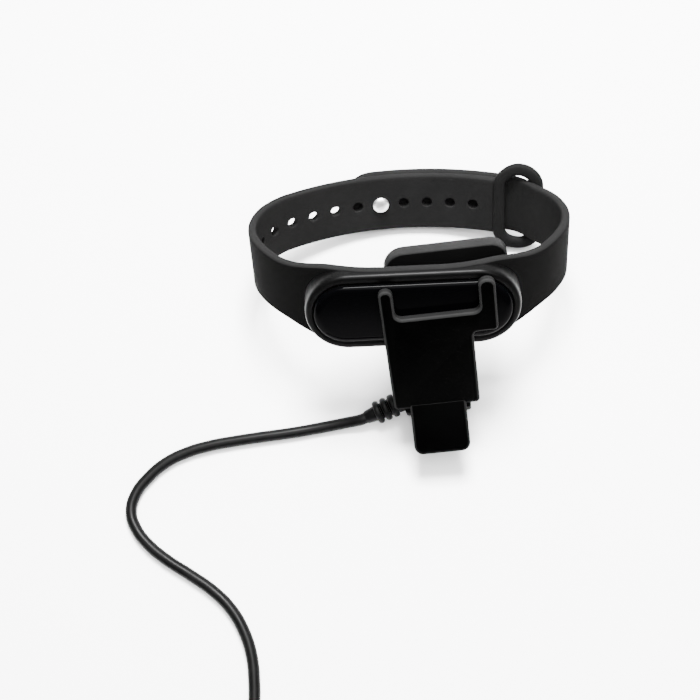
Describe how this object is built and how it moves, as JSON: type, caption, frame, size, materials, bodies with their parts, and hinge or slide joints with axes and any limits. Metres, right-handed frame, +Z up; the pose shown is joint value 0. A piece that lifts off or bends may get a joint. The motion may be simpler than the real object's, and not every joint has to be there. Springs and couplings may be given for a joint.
{
  "type": "fitness tracker band",
  "caption": "Soft wrist strap with a capsule fitness tracker, held in a sprung charging clip with side fork, contact pins and a thin lead ending in a flat data plug.",
  "frame": {"origin": "middle of the underside of the object without its lead, on the table", "axes": "+X to the wearer's right along the tracker's length, +Y from the tracker towards the back of the loop, +Z up from the table; the loop's axis leans back by 32 degrees"},
  "size_m": [0.1099, 0.1762, 0.0443],
  "materials": {
    "silicone": "soft matte moulded silicone",
    "stud_metal": "polished rivet",
    "cover_glass": "black backed curved cover glass",
    "display": "dark display panel",
    "pod_plastic": "fine satin",
    "gasket_rubber": "matte",
    "sensor_glass": "dark tinted window",
    "board": "solder mask",
    "bright_steel": "satin",
    "battery_foil": "foil pouch",
    "foam": "open foam",
    "flex_film": "amber film",
    "spring_brass": "stamped",
    "gold_contact": "gold plated",
    "motor_weight": "sintered weight",
    "clip_plastic": "satin moulded",
    "spring_steel": "drawn wire",
    "cord_jacket": "satin jacket",
    "tie_plastic": "soft tie",
    "plug_plastic": "satin overmould",
    "plug_steel": "folded plated sheet",
    "tongue_plastic": "white insert"
  },
  "bodies": {
    "charger": {"clip_housing": "clip_plastic", "clip_cover": "clip_plastic", "cover_screws": "bright_steel", "clip_board": "board", "contact_block": "clip_plastic", "pogo_barrels": "gold_contact", "pogo_springs": "spring_steel", "hinge_pin": "bright_steel", "jaw_spring": "spring_steel", "strain_relief": "cord_jacket", "cord_run": "cord_jacket", "cord_coil": "cord_jacket", "cord_tail": "cord_jacket", "cord_tie": "tie_plastic", "usb_overmould": "plug_plastic", "usb_shell": "plug_steel", "usb_tongue": "tongue_plastic", "usb_contacts": "gold_contact"},
    "band": {"strap": "silicone", "stud": "stud_metal", "glass": "cover_glass", "display_panel": "display", "front_housing": "pod_plastic", "seal_gasket": "gasket_rubber", "rear_housing": "pod_plastic", "sensor_lens": "sensor_glass", "sensor_module": "board", "main_board": "board", "shield_can": "bright_steel", "battery": "battery_foil", "battery_foam": "foam", "display_flex": "flex_film", "antenna": "spring_brass", "charge_contacts": "gold_contact", "motor_case": "bright_steel", "motor_pin": "bright_steel"},
    "motor_rotor": {"motor_rotor": "motor_weight"},
    "front_jaw": {"front_jaw": "clip_plastic"},
    "pogo_left": {"pogo_pin_left": "gold_contact"},
    "pogo_right": {"pogo_pin_right": "gold_contact"}
  },
  "joints": [
    {"name": "band_lift", "type": "slide", "parent": "charger", "child": "band", "axis": [-0.0785, 0.5283, 0.8454], "range_m": [0, 0.03]},
    {"name": "jaw_hinge", "type": "hinge", "parent": "charger", "child": "front_jaw", "pos_m": [0.00549, -0.01657, 0.01507], "axis": [0.9969, 0.0416, 0.0665], "range_deg": [0, 18], "stiffness_Nm_per_rad": 0.06, "springref_deg": -45.84, "deforming": ["jaw_spring"]},
    {"name": "pogo_left_travel", "type": "slide", "parent": "charger", "child": "pogo_left", "axis": [0, 0.848, -0.5299], "range_m": [0, 0.0008], "stiffness_N_per_m": 300, "springref_m": -0.0006},
    {"name": "pogo_right_travel", "type": "slide", "parent": "charger", "child": "pogo_right", "axis": [0, 0.848, -0.5299], "range_m": [0, 0.0008], "stiffness_N_per_m": 300, "springref_m": -0.0006, "deforming": ["pogo_springs"]},
    {"name": "motor_spin", "type": "hinge", "parent": "band", "child": "motor_rotor", "pos_m": [0.0154, -0.00551, 0.0305], "axis": [0, 0.848, -0.5299], "continuous": true}
  ]
}
